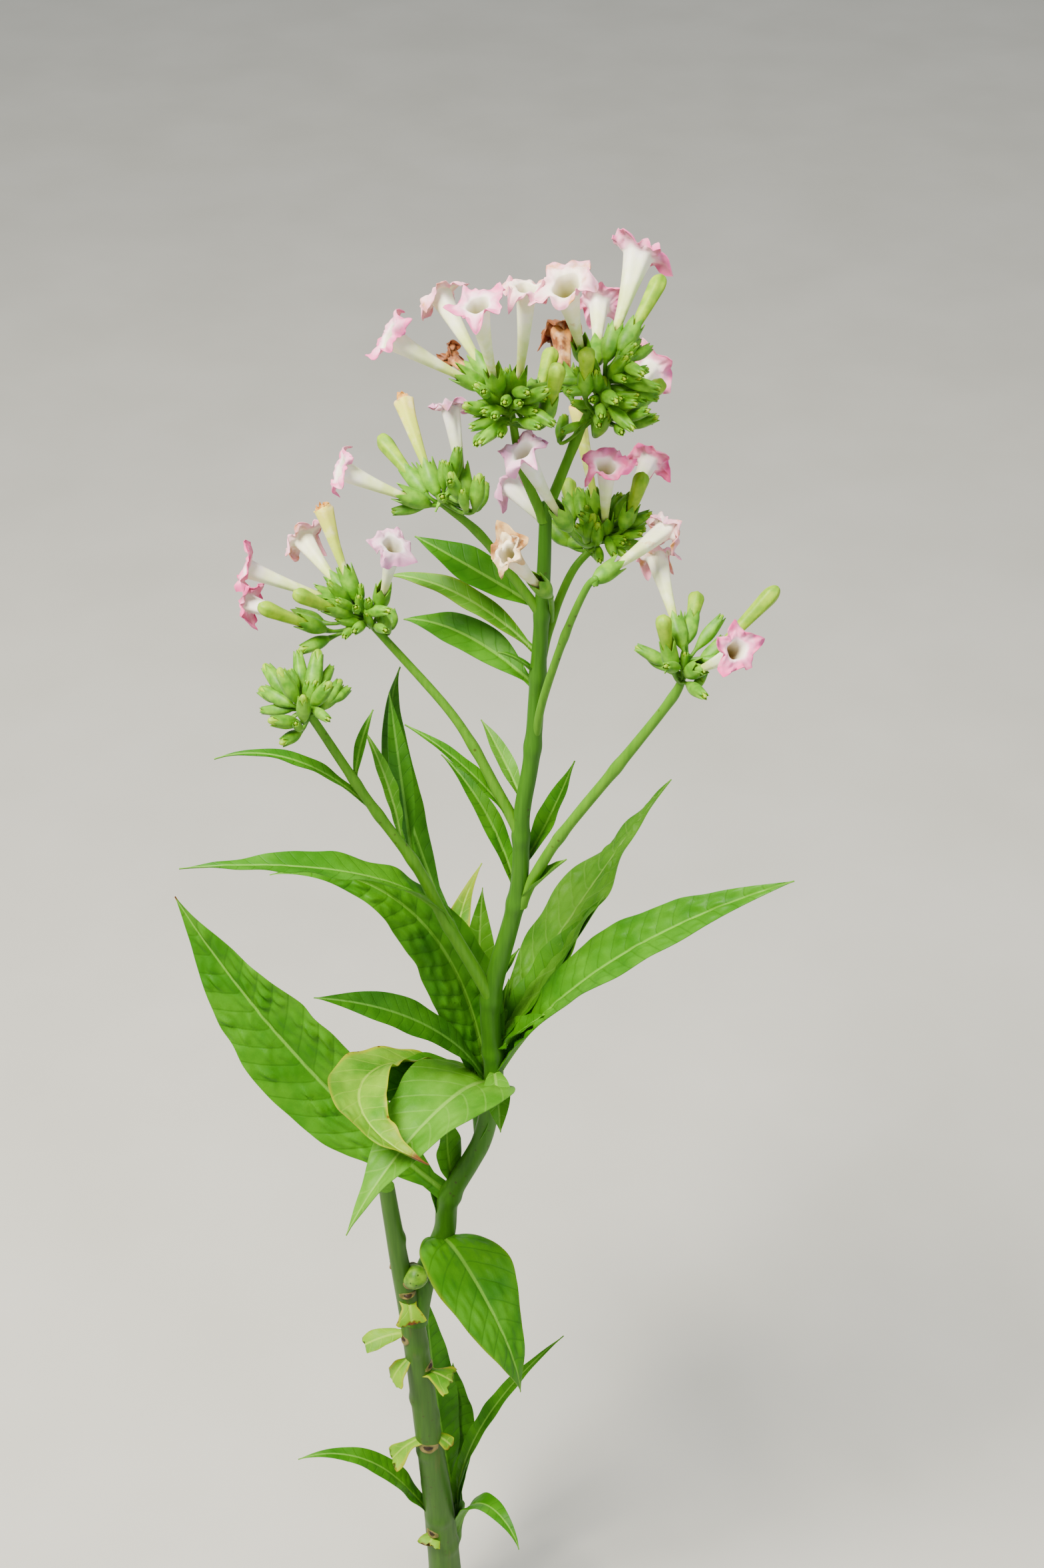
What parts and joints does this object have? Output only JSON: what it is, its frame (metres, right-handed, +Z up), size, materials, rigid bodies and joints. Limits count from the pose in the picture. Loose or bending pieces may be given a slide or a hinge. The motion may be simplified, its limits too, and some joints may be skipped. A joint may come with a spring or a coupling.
{
  "type": "tobacco plant",
  "caption": "Flowering tobacco plant rooted in the ground, with a topped main stem, a leafy flowering shoot, long lance-shaped leaves and clusters of pink and white trumpet flowers.",
  "frame": {"origin": "middle of the flat cut under the main stem, at ground level, which is the mount ground", "axes": "+Z straight up out of the ground; +Y away from the side that the picture shows; +X to the right as seen from that side"},
  "size_m": [0.3343, 0.2121, 1.0372],
  "materials": {
    "main_stem": "matte",
    "green_stem": "satin",
    "leaf": "satin",
    "flowers": "matte",
    "buds": "satin"
  },
  "bodies": {
    "root": {"buds_left": "buds", "flowers_left": "flowers", "flowers_mid_left": "flowers", "flower_withered": "flowers", "flowers_top_left": "flowers", "flowers_top_right": "flowers", "flowers_mid_right": "flowers", "flower_single": "flowers", "flowers_right": "flowers", "main_stem": "main_stem", "flowering_stem": "green_stem", "bough_left": "green_stem", "bough_upper_left": "green_stem", "bough_mid_left": "green_stem", "bough_right": "green_stem", "bough_mid_right": "green_stem", "bough_light": "green_stem", "withered_stalk": "green_stem", "fork_left": "green_stem", "fork_right": "green_stem", "sucker_stem": "green_stem", "stem_knob": "green_stem", "leaf_bough_long": "leaf", "leaf_bough_back": "leaf", "leaf_bough_curled": "leaf", "leaf_bough_bract": "leaf", "leaf_bough_side": "leaf", "leaf_bough_left": "leaf", "leaf_left_blistered": "leaf", "leaf_left_strap": "leaf", "leaf_back_small": "leaf", "leaf_back_yellow": "leaf", "leaf_back_upright": "leaf", "leaf_low_left": "leaf", "leaf_yellow_edged": "leaf", "leaf_front_drooping": "leaf", "leaf_small_hanging": "leaf", "leaf_small_curly": "leaf", "leaf_right_big": "leaf", "leaf_right_folded": "leaf", "leaf_right_back": "leaf", "leaf_fork_left": "leaf", "leaf_stem_left": "leaf", "leaf_stem_axil": "leaf", "leaf_stem_right": "leaf", "leaf_fork_right": "leaf", "leaf_high_left": "leaf", "leaf_back_left": "leaf", "leaf_back_low_left": "leaf", "leaf_low_front": "leaf", "leaf_sucker_tall": "leaf", "leaf_sucker_dark": "leaf", "leaf_sucker_right": "leaf", "leaf_sucker_upright": "leaf", "leaf_sucker_droop": "leaf", "leaf_base_left": "leaf", "leaf_stub_front": "leaf", "leaf_stub_left": "leaf", "leaf_stub_right": "leaf", "leaf_stub_low": "leaf"}
  },
  "joints": []
}
